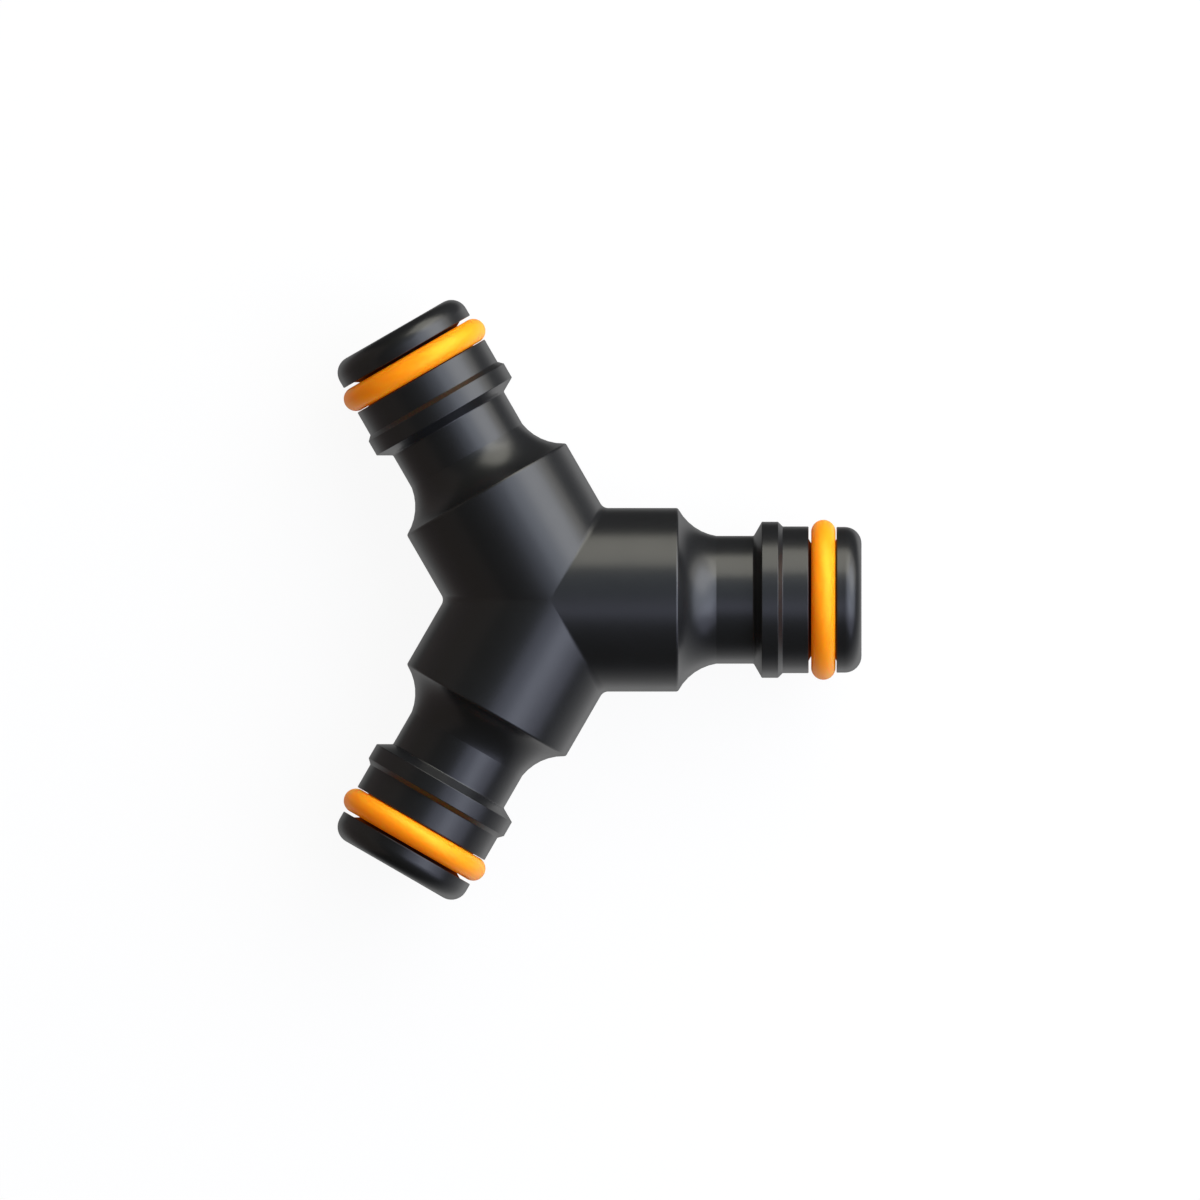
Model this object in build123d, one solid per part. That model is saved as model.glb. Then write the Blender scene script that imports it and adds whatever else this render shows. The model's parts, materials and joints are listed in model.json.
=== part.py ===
from build123d import *
from math import cos, radians, sin, tan
import os

os.makedirs("parts", exist_ok=True)

# Y connector for garden hose quick couplings: three snap nipples in one moulding, each with a sealing ring.
# Sizes are in millimetres. The three arm axes cross at the origin and lie in the XY plane, with Z upwards.
# The right arm runs along +X, and the others follow it anticlockwise. A station is a distance along an arm
# from the point where the axes cross.

# The arms, and where each ring has settled in the side play of its groove: 1 is hard against the nose,
# -1 hard against the land
ring_lean = {"right": 0.45, "upper_left": -0.7, "lower_left": -0.7}
arm_spacing = 360 / len(ring_lean)

# The sealing ring, of round section
ring_inside_diameter = 11.16
ring_section = 2.45

# The ring's groove, and how the ring sits in it
ring_stretch = 0.07
ring_seat_clearance = 0.02
ring_side_play = 0.35
groove_depth = 1.66
groove_corner_rise = 0.47
groove_corner_run = 0.27

# The waterway through each arm
groove_wall = 1.15
mouth_chamfer = 0.5

# The nose, outside the groove
nose_straight = 0.83
nose_round = 1.68
tip_face_least = 0.3

# The land and the snap flange, inside the groove
land_length = 2.6
land_step = 0.05
flange_step = 0.47
flange_width = 1.62
flange_front_angle = 45.0
flange_back_angle = 60.0

# The neck, which the claws of a coupling grip behind the flange
catch_depth = 1.42
neck_length = 3.42

# The cove that opens from the neck to the barrel, and the barrels that meet in the middle
cove_run = 4.17
shoulder_height = 2.8
barrel_reach = 12.83
barrel_edge_chamfer = 0.32
crotch_round = 0.9

# Radii, built outwards and inwards from the seat of the ring
groove_floor_radius = ring_inside_diameter / 2 + ring_stretch
ring_centre_radius = (ring_inside_diameter + ring_section) / 2
bore_radius = groove_floor_radius - groove_wall
nose_radius = groove_floor_radius + groove_depth
land_radius = nose_radius + land_step
flange_radius = land_radius + flange_step
neck_radius = flange_radius - catch_depth
barrel_radius = neck_radius + shoulder_height

# The nose is rounded as far as its wall allows, and keeps a flat ring at its tip
nose_corner = min(nose_round, nose_radius - bore_radius - mouth_chamfer - tip_face_least)

# Stations, from the barrel outwards
neck_start = barrel_reach + cove_run
neck_end = neck_start + neck_length
flange_start = neck_end + catch_depth / tan(radians(flange_back_angle))
flange_end = flange_start + flange_width
land_start = flange_end + flange_step / tan(radians(flange_front_angle))
groove_start = land_start + land_length
groove_end = groove_start + ring_section + ring_side_play
tip = groove_end + nose_straight + nose_corner


def corner_at(sketch, station, radius):
    """The profile's corner nearest to a station and a radius."""
    return sketch.vertices().sort_by_distance((station, radius))[0]


def arm_profile():
    """Half of an arm's lengthwise section, from its bore to its outside, with X along the arm and Z outwards."""
    with BuildSketch(Plane.XZ) as section:
        with BuildLine():
            Polyline((0, bore_radius), (0, barrel_radius), (barrel_reach, barrel_radius))
            TangentArc((neck_start, neck_radius), (barrel_reach, barrel_radius), tangent=(-1, 0))
            Polyline(
                (neck_start, neck_radius),
                (neck_end, neck_radius),
                (flange_start, flange_radius),
                (flange_end, flange_radius),
                (land_start, land_radius),
                (groove_start, land_radius),
                (groove_start, groove_floor_radius + groove_corner_rise),
                (groove_start + groove_corner_run, groove_floor_radius),
                (groove_end - groove_corner_run, groove_floor_radius),
                (groove_end, groove_floor_radius + groove_corner_rise),
                (groove_end, nose_radius),
                (tip, nose_radius),
                (tip, bore_radius),
                (0, bore_radius),
            )
        make_face()
        chamfer(corner_at(section, barrel_reach, barrel_radius), barrel_edge_chamfer)
        fillet(corner_at(section, tip, nose_radius), nose_corner)
        chamfer(corner_at(section, tip, bore_radius), mouth_chamfer)
    return section.sketch


def mitred_arm():
    """One arm along +X, cut off by the two upright planes halfway to its neighbours."""
    arm = revolve(arm_profile(), Axis.X)
    half_angle = radians(arm_spacing / 2)
    for side in (1, -1):
        into_arm = (sin(half_angle), side * cos(half_angle), 0)
        arm = split(arm, Plane(origin=(0, 0, 0), z_dir=into_arm), keep=Keep.TOP)
    return arm


def y_body():
    """The whole moulding: the mitred arms joined, with the creases between their barrels filled to a round.

    The barrels only touch along their highest and lowest lines where the creases meet, so each fillet runs
    out to nothing there and is widest low in the crotch.
    """
    arm = mitred_arm()
    body = Part() + [Rot(0, 0, turn * arm_spacing) * arm for turn in range(len(ring_lean))]
    creases = body.edges().filter_by(GeomType.ELLIPSE).group_by(SortBy.LENGTH)[-1]
    return fillet(creases, crotch_round)


def sealing_ring(lean):
    """A ring on the +X arm, flat where it is stretched over the floor of its groove."""
    station = (groove_start + groove_end + lean * ring_side_play) / 2
    seat_radius = groove_floor_radius + ring_seat_clearance
    with BuildSketch(Plane.XZ) as section:
        with Locations((station, ring_centre_radius)):
            Circle(ring_section / 2)
        with Locations((station, 0)):
            Rectangle(2 * ring_section, 2 * seat_radius, mode=Mode.SUBTRACT)
    return revolve(section.sketch, Axis.X)


parts = {"y_body": y_body()}
for turn, (arm_name, lean) in enumerate(ring_lean.items()):
    parts[f"o_ring_{arm_name}"] = Rot(0, 0, turn * arm_spacing) * sealing_ring(lean)

for node, solid in parts.items():
    export_step(solid, f"parts/{node}.step")
    print(node, "volume", round(solid.volume, 1), "valid", solid.is_valid)

print("bore", 2 * bore_radius, "barrel", 2 * barrel_radius, "neck", 2 * neck_radius, "flange", 2 * flange_radius)
print("land", 2 * land_radius, "nose", 2 * nose_radius, "ring", ring_inside_diameter + 2 * ring_section)
print("tip station", tip, "stations", neck_start, neck_end, flange_start, flange_end, land_start, groove_start)
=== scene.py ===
# %% [markdown]
# A Y connector for garden hoses: one black moulding with three snap nipples, and an orange sealing ring on each
# of them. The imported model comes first, because it gives every size and place that follows. Its nodes stay where
# they are, and the finer surfaces made here stand exactly on them.

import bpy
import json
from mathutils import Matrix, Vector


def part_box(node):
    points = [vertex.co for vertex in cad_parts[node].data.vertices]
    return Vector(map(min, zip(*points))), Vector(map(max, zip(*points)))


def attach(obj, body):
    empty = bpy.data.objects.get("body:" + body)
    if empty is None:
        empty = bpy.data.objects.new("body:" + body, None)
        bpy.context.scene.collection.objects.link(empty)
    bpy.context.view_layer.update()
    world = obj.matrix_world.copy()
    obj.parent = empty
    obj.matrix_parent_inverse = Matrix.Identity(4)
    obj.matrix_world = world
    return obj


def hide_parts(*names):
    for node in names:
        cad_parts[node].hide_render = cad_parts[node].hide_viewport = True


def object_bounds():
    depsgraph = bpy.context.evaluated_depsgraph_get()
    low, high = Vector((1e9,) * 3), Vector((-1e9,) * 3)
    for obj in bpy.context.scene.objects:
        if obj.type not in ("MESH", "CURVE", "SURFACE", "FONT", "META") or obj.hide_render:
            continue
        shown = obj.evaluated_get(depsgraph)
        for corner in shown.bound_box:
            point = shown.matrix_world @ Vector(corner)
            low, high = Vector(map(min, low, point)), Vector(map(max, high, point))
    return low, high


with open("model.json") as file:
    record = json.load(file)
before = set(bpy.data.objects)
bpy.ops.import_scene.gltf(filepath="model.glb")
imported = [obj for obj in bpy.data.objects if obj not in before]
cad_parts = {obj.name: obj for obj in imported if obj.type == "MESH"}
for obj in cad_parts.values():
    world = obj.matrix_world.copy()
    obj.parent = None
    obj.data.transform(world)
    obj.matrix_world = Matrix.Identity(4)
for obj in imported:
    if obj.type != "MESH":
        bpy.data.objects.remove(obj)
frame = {"nodes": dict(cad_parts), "record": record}
cad_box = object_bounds()
print("nodes", sorted(frame["nodes"]), "box in mm", [[round(1000 * x, 2) for x in corner] for corner in cad_box])

# %% [markdown]
# A nipple is a turned shape, so a few radii and a few stations describe it. A station is a distance along an arm
# from the point where the three axes cross. The mounts and boxes of the frame give the main ones, and the sizes
# of the flange, the land and the groove, which the frame doesn't state, are written here once. All are in
# millimetres, and the meshes are brought to metres when they are built.

# %% Sizes
import json
import math
import bmesh
import bpy
from mathutils import Matrix, Vector

MM = 0.001
mounts = {mount["name"]: mount for mount in frame["record"]["mounts"]}
arms = {name.removeprefix("waterway_"): math.atan2(mount["axis"][1], mount["axis"][0])
        for name, mount in mounts.items() if mount["kind"] == "bore"}
body_low, body_high = (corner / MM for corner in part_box("y_body"))
ring_low, ring_high = (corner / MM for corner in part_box("o_ring_right"))

tip = body_high.x
barrel_radius = body_high.z
bore_radius = mounts["waterway_right"]["dims"]["r_mm"]
nose_radius = mounts["nose_right"]["dims"]["r_mm"]
mouth_chamfer = tip - mounts["waterway_right"]["pos_m"][0] / MM
neck_middle = mounts["snap_neck_right"]["pos_m"][0] / MM
nose_start = mounts["nose_right"]["pos_m"][0] / MM - mounts["nose_right"]["dims"]["length_mm"] / 2
nose_end = nose_start + mounts["nose_right"]["dims"]["length_mm"]
ring_section = ring_high.x - ring_low.x
ring_centre_radius = ring_high.z - ring_section / 2

groove_depth = 1.66
groove_width = 2.8
groove_corner_rise = 0.47
groove_corner_run = 0.27
ring_seat_clearance = 0.02
land_step = 0.05
flange_step = 0.47
flange_width = 1.62
flange_front_angle = math.radians(45)
flange_back_angle = math.radians(60)
catch_depth = 1.42
neck_length = 3.42
cove_run = 4.17
crotch_round = 0.9

land_radius = nose_radius + land_step
flange_radius = land_radius + flange_step
neck_radius = flange_radius - catch_depth
floor_radius = nose_radius - groove_depth
neck_start = neck_middle - neck_length / 2
neck_end = neck_middle + neck_length / 2
flange_start = neck_end + catch_depth / math.tan(flange_back_angle)
flange_end = flange_start + flange_width
land_start = flange_end + flange_step / math.tan(flange_front_angle)
groove_start = nose_start - groove_width
barrel_reach = neck_start - cove_run
shoulder_height = barrel_radius - neck_radius
cove_radius = (cove_run**2 + shoulder_height**2) / (2 * shoulder_height)
print("arms", {name: round(math.degrees(angle)) for name, angle in arms.items()})
print("radii: bore", bore_radius, "neck", round(neck_radius, 2), "flange", round(flange_radius, 2),
      "barrel", round(barrel_radius, 2), "cove", round(cove_radius, 2))

# %% [markdown]
# Moulded edges are never quite sharp: each has a small round, and the thin line of light along it is what makes
# plastic look like plastic. The outline is therefore drawn as rows, where a row is a point of the outline with
# the way the surface faces there. A corner becomes a short fan of rows along its round. With the facing kept
# beside the point, the shading is exact, and no smoothing has to guess it.

# %% Draw an outline as rows
EDGE_ROUND = 0.1
ROW_TURN = math.radians(9)


def arc_rows(centre, size, start, end):
    """Rows along an arc, from one facing to another. A facing that grows means a hollow, with its centre outside."""
    steps = max(3, math.ceil(abs(end - start) / ROW_TURN))
    side = -1 if end > start else 1
    rows = []
    for step in range(steps + 1):
        facing = start + (end - start) * step / steps
        rows.append((centre + side * size * Vector((math.cos(facing), math.sin(facing))), facing))
    return rows


def facing_of(direction):
    """The facing of a straight stretch drawn in this direction, with the plastic on its right."""
    return math.atan2(direction.x, -direction.y)


def corner_rows(before, corner, after, size):
    """Rows round one corner of an outline."""
    arriving = (corner - before).normalized()
    leaving = (after - corner).normalized()
    start = facing_of(arriving)
    turn = (facing_of(leaving) - start + math.pi) % (2 * math.pi) - math.pi
    foot = corner - arriving * size * math.tan(abs(turn) / 2)
    inwards = math.copysign(size, turn) * Vector((math.cos(start), math.sin(start)))
    return arc_rows(foot + inwards, size, start, start + turn)


def outline_rows(points):
    """Rows round every corner of an open outline. A point is a station, a radius and the size of its round."""
    places = [Vector(point[:2]) for point in points]
    rows = []
    for index in range(1, len(points) - 1):
        rows += corner_rows(*places[index - 1:index + 2], points[index][2])
    return rows


def filled(rows, longest=1.2):
    """The same rows, with more of them along straight stretches, so that no face is long and thin."""
    dense = [rows[0]]
    for place, facing in rows[1:]:
        last = dense[-1][0]
        pieces = max(1, math.ceil((place - last).length / longest))
        dense += [(last.lerp(place, piece / pieces), facing) for piece in range(1, pieces + 1)]
    return dense


# %% [markdown]
# Going outwards along a nipple, the barrel ends in a small round, and a cove leads down to the neck, which it
# meets at a faint edge. The snap flange, a plain land, the ring's groove and a well rounded nose follow, and the
# outline then turns in over the tip and ends on the wall of the waterway. The barrel's round, the cove and the
# faint edge have to join without a step. Three arcs typed in by hand would rarely do that, so only the two ends
# of the cove and the angle of the faint edge are chosen, and the radii are worked out from them.

# %% Outline of one nipple
BARREL_EDGE_REACH = 0.18
COVE_SHORT = 0.32
COVE_KINK = math.radians(9)
cove_centre = Vector((neck_start, neck_radius + cove_radius))
cove_turn = math.asin(cove_run / cove_radius) - BARREL_EDGE_REACH / cove_radius
edge_end = cove_centre - cove_radius * Vector((math.sin(cove_turn), math.cos(cove_turn)))
cove_foot = Vector((neck_start - COVE_SHORT, neck_radius))

chord = cove_foot - edge_end
edge_turn = 2 * math.atan2(-chord.y, chord.x) - COVE_KINK
hollow_radius = chord.length / (2 * math.sin((edge_turn - COVE_KINK) / 2))
hollow_centre = cove_foot + hollow_radius * Vector((math.sin(COVE_KINK), math.cos(COVE_KINK)))
edge_reach = (barrel_radius - edge_end.y) / math.sin(edge_turn)
edge_corner = edge_end - edge_reach * Vector((math.cos(edge_turn), -math.sin(edge_turn)))
edge_round = edge_reach / math.tan(edge_turn / 2)
kink_start = cove_foot - Vector((math.cos(COVE_KINK), -math.sin(COVE_KINK)))
kink_reach = EDGE_ROUND * math.tan(COVE_KINK / 2)

outer_rows = corner_rows(edge_corner - Vector((1, 0)), edge_corner, edge_end, edge_round)
outer_rows += arc_rows(hollow_centre, hollow_radius, outer_rows[-1][1],
                       math.pi / 2 - COVE_KINK - kink_reach / hollow_radius)
outer_rows += corner_rows(kink_start, cove_foot, cove_foot + Vector((1, 0)), EDGE_ROUND)
outer_rows += outline_rows([
    (neck_start, neck_radius, 0),
    (neck_end, neck_radius, 2 * EDGE_ROUND),
    (flange_start, flange_radius, EDGE_ROUND),
    (flange_end, flange_radius, EDGE_ROUND),
    (land_start, land_radius, EDGE_ROUND),
    (groove_start, land_radius, EDGE_ROUND),
    (groove_start, floor_radius + groove_corner_rise, EDGE_ROUND),
    (groove_start + groove_corner_run, floor_radius, EDGE_ROUND),
    (nose_start - groove_corner_run, floor_radius, EDGE_ROUND),
    (nose_start, floor_radius + groove_corner_rise, EDGE_ROUND),
    (nose_start, nose_radius, EDGE_ROUND),
    (tip, nose_radius, tip - nose_end),
    (tip, bore_radius + mouth_chamfer, EDGE_ROUND),
    (tip - mouth_chamfer, bore_radius, EDGE_ROUND),
    (0, bore_radius, 0),
])
outer_rows = filled(outer_rows)
print("barrel's edge round", round(edge_round, 2), "and hollow of the cove", round(hollow_radius, 2))
print("rows of the outline", len(outer_rows), "from station", round(outer_rows[0][0].x, 2),
      "to", round(outer_rows[-1][0].x, 2))

# %% [markdown]
# The outline is swept round the arm's axis in columns. Towards the middle the three arms cut each other off along
# two upright planes, so a column starts at a place of its own there: where a ball of the crotch's round, rolled
# along the crease, touches that line of the barrel. Half of the ball's strip belongs to this arm, and the strip
# narrows to nothing at the top and bottom of the hub, where the barrels only touch. The waterways are simply
# mitred, as the core pins of the mould are.

# %% One arm, column by column
COLUMNS = 192
STRIP_STEPS = 6
BARREL_PIECES = 8
WATERWAY_PIECES = 14
mitre = math.pi / len(arms)


def strip_column(radial, across):
    """This arm's half of the round in the crease, from the upright plane to the barrel."""
    reach = barrel_radius + crotch_round
    ball = radial * reach + Vector((reach * abs(across) / math.tan(mitre), 0, 0))
    plane_facing = Vector((math.sin(mitre), -math.copysign(math.cos(mitre), across), 0))
    middle = (radial - plane_facing * radial.dot(plane_facing)).normalized()
    spread = middle.angle(radial, 0.0)
    column = []
    for step in range(STRIP_STEPS + 1):
        share = step / STRIP_STEPS
        facing = radial if spread < 1e-6 else middle.slerp(radial, share)
        column.append((ball - facing * crotch_round, facing))
    return column


def straight_column(start, end, facing, pieces):
    """Points between two ends of a straight stretch, without the ends."""
    return [(start.lerp(end, piece / pieces), facing) for piece in range(1, pieces)]


def arm_column(turn):
    """One column of an arm along +X, from the crease to the tip and back along the waterway."""
    across = math.cos(turn)
    radial = Vector((0, across, math.sin(turn)))
    column = strip_column(radial, across)
    turned = []
    for place, facing in outer_rows:
        outwards = Vector((math.cos(facing), 0, 0)) + radial * math.sin(facing)
        turned.append((Vector((place.x, 0, 0)) + radial * place.y, outwards))
    column += straight_column(column[-1][0], turned[0][0], radial, BARREL_PIECES)
    column += turned
    junction = radial * bore_radius + Vector((bore_radius * abs(across) / math.tan(mitre), 0, 0))
    column += straight_column(turned[-1][0], junction, -radial, WATERWAY_PIECES)
    return column + [(junction, -radial)]


print("an arm has", COLUMNS, "columns of", len(arm_column(0.0)), "points")

# %% [markdown]
# The columns become one closed mesh: three copies of the arm, turned to their places, with the points that meet
# on the planes between them joined. A layer carries the facing of each point through the joining, and at the end
# it becomes the mesh's own normals. Deep inside, the walls of the waterways meet at a crease, which the joined
# normals soften over the last row of faces.

# %% Build the mesh
SAME_PLACE = 0.00005 * MM


def add_grid(mesh, facing_layer, columns, place):
    """Adds a closed ring of columns of points to a bmesh, turned into place, with faces between the columns."""
    grid = []
    for column in columns:
        points = []
        for position, facing in column:
            point = mesh.verts.new(place @ (position * MM))
            point[facing_layer] = place @ facing
            points.append(point)
        grid.append(points)
    for index, left in enumerate(grid):
        right = grid[(index + 1) % len(grid)]
        for row in range(len(left) - 1):
            mesh.faces.new((left[row], right[row], right[row + 1], left[row + 1]))


def finished_piece(name, mesh, facing_layer, slot, *nodes):
    """Joins the points that meet, makes the object, and hides the nodes that it stands for."""
    bmesh.ops.remove_doubles(mesh, verts=mesh.verts, dist=SAME_PLACE)
    open_edges = sum(not edge.is_manifold for edge in mesh.edges)
    volume = mesh.calc_volume() / MM**3
    facings = [point[facing_layer].normalized() for point in mesh.verts]
    data = bpy.data.meshes.new(name)
    mesh.verts.layers.float_vector.remove(facing_layer)
    mesh.to_mesh(data)
    mesh.free()
    data.shade_smooth()
    data.normals_split_custom_set_from_vertices(facings)
    piece = bpy.data.objects.new(name, data)
    bpy.context.scene.collection.objects.link(piece)
    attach(piece, "root")
    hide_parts(*nodes)
    print(name, len(data.polygons), "faces,", open_edges, "open edges, volume", round(volume, 1), "mm3")
    return piece


def y_moulding():
    """The whole moulding, as one closed skin."""
    mesh = bmesh.new()
    layer = mesh.verts.layers.float_vector.new("facing")
    columns = [arm_column(2 * math.pi * index / COLUMNS) for index in range(COLUMNS)]
    for angle in arms.values():
        add_grid(mesh, layer, columns, Matrix.Rotation(angle, 3, "Z"))
    return finished_piece("y_moulding", mesh, layer, "black_plastic", "y_body")


moulding = y_moulding()

# %% [markdown]
# A sealing ring has a round section, except where its stretch presses it flat on the floor of the groove. Each
# one has settled a little to one side of its groove, and its node's box says where: the middle of the box lies on
# the arm's axis, at the ring's station.

# %% Sealing rings
RING_COLUMNS = 192
SEAT_ROUND = 0.15
seat_radius = floor_radius + ring_seat_clearance


def ring_rows():
    """The closed section of a ring about its own station, with small rounds where it leaves its flat."""
    half = ring_section / 2
    centre = Vector((0, ring_centre_radius))
    depth = ring_centre_radius - seat_radius
    lip = math.sqrt((half - SEAT_ROUND)**2 - (depth - SEAT_ROUND)**2)
    swing = math.atan2(lip, depth - SEAT_ROUND)
    low = -math.pi / 2
    left = Vector((-lip, seat_radius + SEAT_ROUND))
    right = Vector((lip, seat_radius + SEAT_ROUND))
    rows = arc_rows(left, SEAT_ROUND, low, low - swing)
    rows += arc_rows(centre, half, low - swing, low - 2 * math.pi + swing)
    rows += arc_rows(right, SEAT_ROUND, low - 2 * math.pi + swing, low - 2 * math.pi)
    return rows


def sealing_ring(arm, angle):
    """One ring, made on its arm."""
    node = f"o_ring_{arm}"
    low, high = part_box(node)
    station = ((low + high) / 2).length / MM
    section = ring_rows()
    mesh = bmesh.new()
    layer = mesh.verts.layers.float_vector.new("facing")
    columns = []
    for index in range(RING_COLUMNS):
        turn = 2 * math.pi * index / RING_COLUMNS
        radial = Vector((0, math.cos(turn), math.sin(turn)))
        column = []
        for place, facing in section + section[:1]:
            outwards = Vector((math.cos(facing), 0, 0)) + radial * math.sin(facing)
            column.append((Vector((station + place.x, 0, 0)) + radial * place.y, outwards))
        columns.append(column)
    add_grid(mesh, layer, columns, Matrix.Rotation(angle, 3, "Z"))
    print(arm, "ring at station", round(station, 2))
    return finished_piece(f"sealing_ring_{arm}", mesh, layer, "orange_rubber", node)


rings = [sealing_ring(arm, angle) for arm, angle in arms.items()]

# %% [markdown]
# Shader maths reads best as plain sums. This class wraps a socket of a node tree, so that adding, subtracting or
# multiplying two of them adds the Math node that does it. One more method makes any other node, with its settings
# first and then the values or links of its sockets.

# %% Write shader maths as expressions
class Shade:
    """A socket of a node tree that can stand in a sum."""

    def __init__(self, tree, socket):
        self.tree = tree
        self.socket = socket

    def math(self, operation, first, second):
        return Paint(self.tree).node("ShaderNodeMath", {"operation": operation}, {0: first, 1: second})["Value"]

    def __add__(self, other):
        return self.math("ADD", self, other)

    def __sub__(self, other):
        return self.math("SUBTRACT", self, other)

    def __rsub__(self, other):
        return self.math("SUBTRACT", other, self)

    def __mul__(self, other):
        return self.math("MULTIPLY", self, other)

    def __truediv__(self, other):
        return self.math("DIVIDE", self, other)

    def __rtruediv__(self, other):
        return self.math("DIVIDE", other, self)

    def __lt__(self, other):
        return self.math("LESS_THAN", self, other)

    def __abs__(self):
        return self.math("ABSOLUTE", self, 0.0)

    def at_least(self, other):
        return self.math("MAXIMUM", self, other)

    def at_most(self, other):
        return self.math("MINIMUM", self, other)

    __radd__ = __add__
    __rmul__ = __mul__


class Paint:
    """Makes nodes in one tree."""

    def __init__(self, tree):
        self.tree = tree

    def node(self, kind, settings, sockets):
        """A new node. Its outputs come back by name."""
        made = self.tree.nodes.new(kind)
        for name, value in settings.items():
            setattr(made, name, value)
        named = {socket.name: socket for socket in made.inputs if socket.enabled}
        for key, value in sockets.items():
            socket = made.inputs[key] if isinstance(key, int) else named[key]
            if isinstance(value, Shade):
                self.tree.links.new(value.socket, socket)
            else:
                socket.default_value = value
        return {socket.name: Shade(self.tree, socket) for socket in made.outputs if socket.enabled}

    def noise(self, scale, detail=2.0, roughness=0.5):
        """Noise over the object's own coordinates, from 0 to 1, with its scale in features a metre."""
        where = self.node("ShaderNodeTexCoord", {}, {})["Object"]
        sockets = {"Vector": where, "Scale": scale, "Detail": detail, "Roughness": roughness}
        return self.node("ShaderNodeTexNoise", {}, sockets)["Fac"]

    def around(self, middle, spread, noise):
        """A value that noise moves up and down round its middle."""
        return middle - spread / 2 + spread * noise

    def bumps(self, strength, depth, relief):
        """The facing of a surface with a fine relief."""
        return self.node("ShaderNodeBump", {}, {"Strength": strength, "Distance": depth, "Height": relief})["Normal"]

    def blend(self, share, first, second):
        """A mix of two colours."""
        return self.node("ShaderNodeMix", {"data_type": "RGBA"}, {"Factor": share, "A": first, "B": second})["Result"]


def new_material(name):
    """An empty material with its output node."""
    material = bpy.data.materials.new(name)
    material.use_nodes = True
    material.node_tree.nodes.clear()
    output = material.node_tree.nodes.new("ShaderNodeOutputMaterial")
    return material, Paint(material.node_tree), output


# %% [markdown]
# The body is black plastic straight from a polished mould. Its base is nearly black, so almost all that shows is
# what the surface reflects: a soft gloss with a very fine satin, slightly uneven as the mould's polish is. A
# hair-thin line runs round the middle of the moulding, where the two halves of the mould met.

# %% Black plastic
PLASTIC_DARK = (0.0065, 0.0068, 0.0074, 1)
PLASTIC_LIGHT = (0.0105, 0.0108, 0.0115, 1)
PLASTIC_ROUGHNESS = 0.3
PLASTIC_ROUGHNESS_SPREAD = 0.06
PLASTIC_CLOUDS = 90
PLASTIC_GRAIN = 5200
PLASTIC_POLISH = 450
PARTING_LINE = 0.05 * MM
RELIEF_DEPTH = 0.02 * MM
RELIEF_STRENGTH = 0.12


def black_plastic():
    """Satin black plastic with a fine grain and a parting line."""
    material, paint, output = new_material("black_plastic_satin")
    cloud = paint.noise(PLASTIC_CLOUDS, detail=3)
    grain = paint.noise(PLASTIC_GRAIN, detail=2)
    polish = paint.noise(PLASTIC_POLISH, detail=4, roughness=0.6)
    where = paint.node("ShaderNodeTexCoord", {}, {})["Object"]
    height = paint.node("ShaderNodeSeparateXYZ", {}, {"Vector": where})["Z"]
    parting = abs(height) < PARTING_LINE
    relief = grain * 0.25 + polish * 0.15 + parting * 0.6
    surface = paint.node("ShaderNodeBsdfPrincipled", {}, {
        "Base Color": paint.blend(cloud, PLASTIC_DARK, PLASTIC_LIGHT),
        "Roughness": paint.around(PLASTIC_ROUGHNESS, PLASTIC_ROUGHNESS_SPREAD, polish),
        "IOR": 1.5,
        "Normal": paint.bumps(RELIEF_STRENGTH, RELIEF_DEPTH, relief),
    })["BSDF"]
    paint.tree.links.new(surface.socket, output.inputs["Surface"])
    print(material.name, "has", len(material.node_tree.nodes), "nodes")
    return material


moulding.data.materials.append(black_plastic())

# %% [markdown]
# The rings are bright orange rubber, softer in gloss than the plastic. A plain orange paint turns brown on the
# side away from the lamps, which rubber doesn't: light soaks about a millimetre into it and comes out again, red
# deepest, and Subsurface stands for that. A weak orange glow is painted light on top of it: it brightens the side
# away from the lamps, though the rubber is no lamp.
# The shine is tinted, so that it reads as yellow and not as white. The fine dullness that the ring's mould
# leaves, and tiny differences in shade, come from noise.

# %% Orange rubber
RUBBER_DEEP = (0.95, 0.315, 0.010, 1)
RUBBER_BRIGHT = (1.0, 0.345, 0.012, 1)
RUBBER_SHINE = (1.0, 0.95, 0.1, 1)
RUBBER_PAINTED_LIGHT = (1.0, 0.15, 0.0, 1)
RUBBER_PAINTED_LIGHT_LEVEL = 0.2
RUBBER_ROUGHNESS = 0.42
RUBBER_ROUGHNESS_SPREAD = 0.06
RUBBER_CLOUDS = 260
RUBBER_GRAIN = 7000
DULLNESS_STRENGTH = 0.1
LIGHT_IN_RUBBER = (1.0, 0.25, 0.05)
RUBBER_DEPTH = 1.2 * MM


def orange_rubber():
    """Orange rubber with a tinted, soft shine."""
    material, paint, output = new_material("orange_rubber_soft")
    cloud = paint.noise(RUBBER_CLOUDS, detail=3)
    grain = paint.noise(RUBBER_GRAIN, detail=2)
    surface = paint.node("ShaderNodeBsdfPrincipled", {}, {
        "Base Color": paint.blend(cloud, RUBBER_DEEP, RUBBER_BRIGHT),
        "Roughness": paint.around(RUBBER_ROUGHNESS, RUBBER_ROUGHNESS_SPREAD, cloud),
        "IOR": 1.5,
        "Specular IOR Level": 1.0,
        "Specular Tint": RUBBER_SHINE,
        # The emission is painted light: a weak orange glow that brightens the rings' shaded side.
        "Emission Color": RUBBER_PAINTED_LIGHT,
        "Emission Strength": RUBBER_PAINTED_LIGHT_LEVEL,
        "Subsurface Weight": 1.0,
        "Subsurface Radius": LIGHT_IN_RUBBER,
        "Subsurface Scale": RUBBER_DEPTH,
        "Normal": paint.bumps(DULLNESS_STRENGTH, RELIEF_DEPTH, grain),
    })["BSDF"]
    paint.tree.links.new(surface.socket, output.inputs["Surface"])
    print(material.name, "has", len(material.node_tree.nodes), "nodes")
    return material


rubber = orange_rubber()
for ring in rings:
    ring.data.materials.append(rubber)

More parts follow.
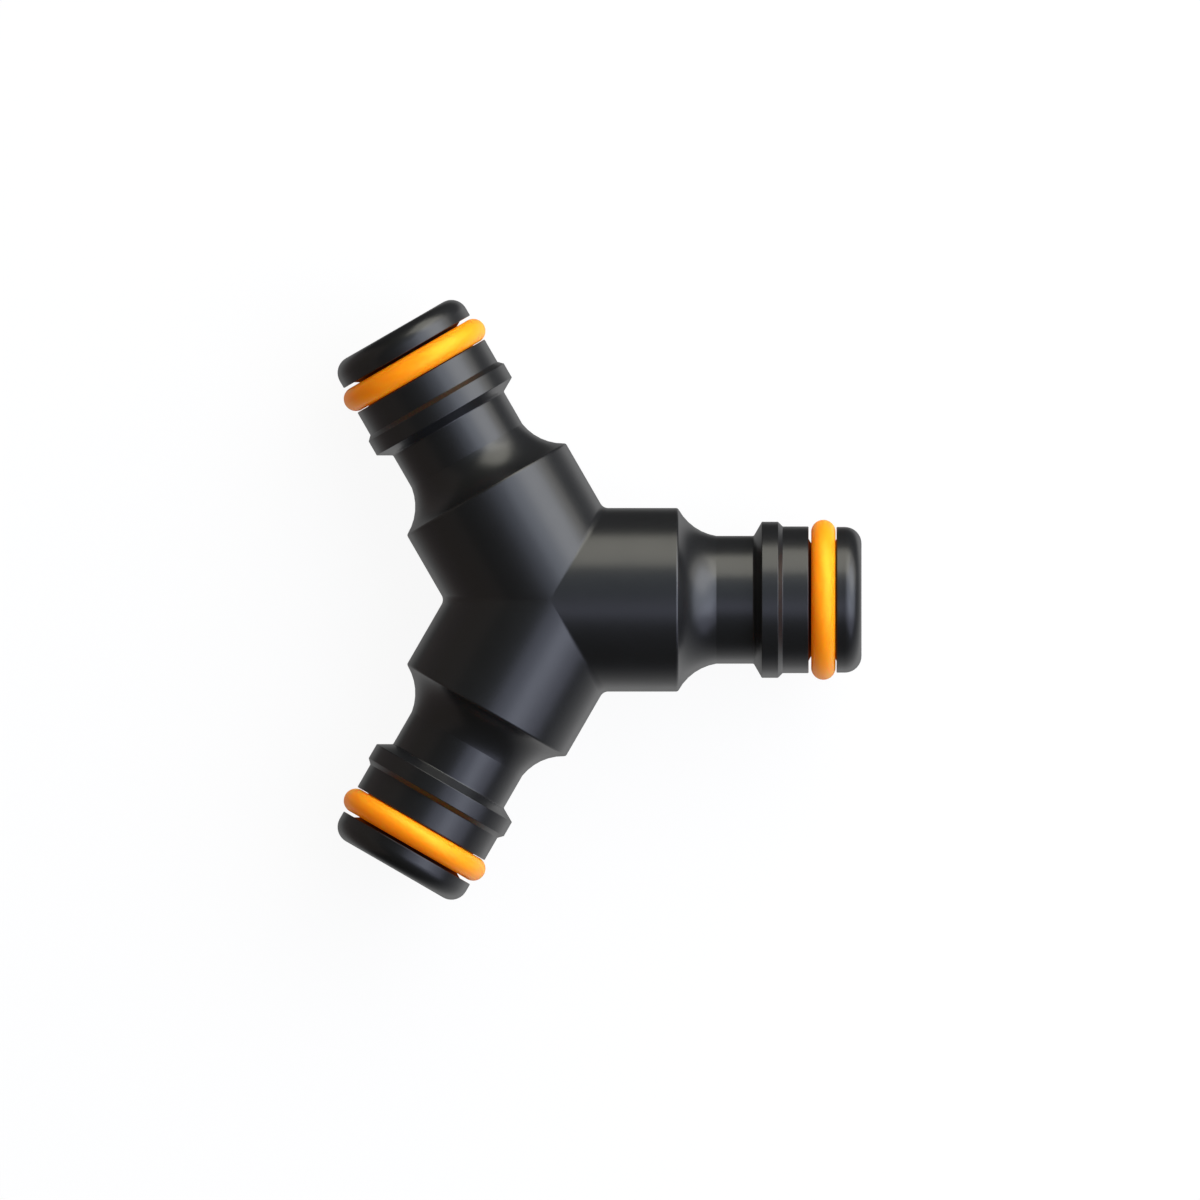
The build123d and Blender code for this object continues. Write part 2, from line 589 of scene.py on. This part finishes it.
# %% [markdown]
# The connector lies on a white table. The table has to show as plain white behind the part and still keep a soft
# shadow, so its material is mostly a white glow for the rays that look at it, and partly a white paint that the
# lamps light. Too much white from below would wash out the sides of a black part, so the light that the table
# bounces is that of a greyer paint. Reflections look through the table, because smooth black plastic shows how
# evenly a table is lit, and the room gives them a sheet whose light can be steered.

# %% White table
TABLE_SIZE = 6.0
WHITE = (1, 1, 1, 1)
BLACK = (0, 0, 0, 1)
TABLE_GLOW = 0.93
TABLE_PAINT = (0.9, 0.9, 0.9, 1)
TABLE_PAINT_IN_BOUNCE = (0.4, 0.4, 0.4, 1)


def white_table():
    """A large floor under the part."""
    bpy.ops.mesh.primitive_plane_add(size=TABLE_SIZE, location=(0, 0, cad_box[0][2]))
    table = bpy.context.object
    table.name = "white_table"
    material, paint, output = new_material("white_table")
    ray = paint.node("ShaderNodeLightPath", {}, {})
    seen = ray["Is Camera Ray"] + ray["Is Transmission Ray"]
    coat = paint.blend(seen, TABLE_PAINT_IN_BOUNCE, TABLE_PAINT)
    painted = paint.node("ShaderNodeBsdfDiffuse", {}, {"Color": coat})["BSDF"]
    glow = paint.node("ShaderNodeEmission", {}, {"Color": WHITE, "Strength": 1.0})["Emission"]
    white = paint.node("ShaderNodeMixShader", {}, {"Fac": seen * TABLE_GLOW, 1: painted, 2: glow})["Shader"]
    clear = paint.node("ShaderNodeBsdfTransparent", {}, {})["BSDF"]
    mixed = paint.node("ShaderNodeMixShader", {}, {"Fac": ray["Is Glossy Ray"], 1: white, 2: clear})["Shader"]
    paint.tree.links.new(mixed.socket, output.inputs["Surface"])
    table.data.materials.append(material)
    print("table", TABLE_SIZE, "m wide, at height", round(table.location.z / MM, 2), "mm")


white_table()

# %% [markdown]
# The light is that of a small product studio. Three strong softboxes stand side by side from the top to the
# right, the first warm, the last cool, and a weaker cool one stands to the lower right. A faint wide panel fills
# the gaps between them, and a dim card low on the left keeps the far sides from going quite black. The rest
# stays dark, which is what gives black plastic its shape: only the sides that turn towards a box light up. Each
# box is placed by its compass direction round the part, anticlockwise from the right, and its angle from
# straight up, and its sides are angles too, as the part sees them.

# %% Softboxes
LAMP_DISTANCE = 0.6
softboxes = {
    "warm_box": dict(compass=79, tilt=65, width=38, height=45, radiance=3.5, colour=(1.0, 0.98, 0.87)),
    "key_box": dict(compass=41, tilt=67, width=48, height=48, radiance=2.17, colour=(1.0, 0.96, 0.88)),
    "cool_box": dict(compass=15, tilt=47, width=66, height=53, radiance=3.0, colour=(0.79, 0.85, 1.0)),
    "low_cool_box": dict(compass=325, tilt=39, width=37, height=71, radiance=1.4, colour=(0.72, 0.75, 1.0)),
    "wide_panel": dict(compass=35, tilt=43, width=67, height=83, radiance=0.37, colour=(0.66, 0.82, 1.0)),
    "left_card": dict(compass=181, tilt=88, width=75, height=85, radiance=0.2, colour=(1.0, 0.81, 0.77)),
}


def softbox(name, compass, tilt, width, height, radiance, colour):
    """A rectangular lamp that faces the part, with its sides given as angles seen from there."""
    around, down = math.radians(compass), math.radians(tilt)
    direction = Vector((math.sin(down) * math.cos(around), math.sin(down) * math.sin(around), math.cos(down)))
    lamp = bpy.data.lights.new(name, "AREA")
    lamp.shape = "RECTANGLE"
    lamp.size = 2 * LAMP_DISTANCE * math.tan(math.radians(width / 2))
    lamp.size_y = 2 * LAMP_DISTANCE * math.tan(math.radians(height / 2))
    lamp.energy = radiance * math.pi * lamp.size * lamp.size_y
    lamp.color = colour
    holder = bpy.data.objects.new(name, lamp)
    holder.location = direction * LAMP_DISTANCE
    holder.rotation_euler = direction.to_track_quat("Z", "Y").to_euler()
    bpy.context.scene.collection.objects.link(holder)
    print(name, round(lamp.energy, 2), "W")


for name, box in softboxes.items():
    softbox(name, **box)

# %% [markdown]
# The room around is dim and even, so the part reflects little but the softboxes. The rays that look straight at
# the room find it white, which gives a white background to views from the side. Reflections that go down find
# the white sheet that the part lies on. Its light grows downwards and to the lower right, and it ends towards the
# top, so that the rims of the black part have a pale edge on every side but that one. Straight below it is
# darker, where the part shades it. Blender usually sends extra rays to the bright parts of a room. Here those
# parts show in reflections alone, so that is turned off.

# %% Room
ROOM = (0.06, 0.055, 0.03, 1)
SHEET_LEAST = 0.06
SHEET_LEVEL = -0.277
SHEET_SLOPE = (0.39, -0.29, -1.22)
SHEET_END = 0.53
SHEET_FADE = 0.16
SHADOW_DEPTH = 0.75
SHADOW_REACH = 0.2


def room():
    """A dim world that looks white, with a white sheet below it in reflections."""
    world = bpy.data.worlds.new("studio_room")
    bpy.context.scene.world = world
    world.use_nodes = True
    world.node_tree.nodes.clear()
    world.cycles.sampling_method = "NONE"
    paint = Paint(world.node_tree)
    output = world.node_tree.nodes.new("ShaderNodeOutputWorld")
    ray = paint.node("ShaderNodeLightPath", {}, {})
    direction = paint.node("ShaderNodeTexCoord", {}, {})["Generated"]
    axes = paint.node("ShaderNodeSeparateXYZ", {}, {"Vector": direction})
    height = axes["Z"]
    slope = paint.node("ShaderNodeVectorMath", {"operation": "DOT_PRODUCT"}, {0: direction, 1: SHEET_SLOPE})["Value"]
    within = ((SHEET_END - axes["Y"]) / SHEET_FADE).at_least(0.0).at_most(1.0)
    lit = ((slope + SHEET_LEVEL) * within).at_least(SHEET_LEAST)
    climb = ((height + 1) / SHADOW_REACH).at_most(1.0)
    sheet = lit * (1 - SHADOW_DEPTH * (1 - climb))
    share = ray["Is Glossy Ray"] * (height < 0.0)
    lighting = paint.blend(share, ROOM, paint.blend(sheet, BLACK, WHITE))
    colour = paint.blend(ray["Is Camera Ray"] + ray["Is Transmission Ray"], lighting, WHITE)
    light = paint.node("ShaderNodeBackground", {}, {"Color": colour, "Strength": 1.0})["Background"]
    world.node_tree.links.new(light.socket, output.inputs["Surface"])
    print(world.name, "has", len(world.node_tree.nodes), "nodes")


room()

# %% [markdown]
# The picture looks straight down on the part with no perspective, so a millimetre is as long everywhere in it.
# The part sits left of the middle of the frame.

# %% Camera
VIEW_WIDTH = 120.4 * MM
VIEW_CENTRE = (5.0 * MM, -0.02 * MM)
CAMERA_HEIGHT = 0.5


def camera():
    """A camera over the part that looks straight down."""
    lens = bpy.data.cameras.new("camera")
    lens.type = "ORTHO"
    lens.ortho_scale = VIEW_WIDTH
    holder = bpy.data.objects.new("camera", lens)
    holder.location = (*VIEW_CENTRE, CAMERA_HEIGHT)
    bpy.context.scene.collection.objects.link(holder)
    bpy.context.scene.camera = holder
    print("the picture is", round(lens.ortho_scale / MM, 2), "mm wide")


camera()
bpy.context.scene.view_settings.view_transform = "Standard"
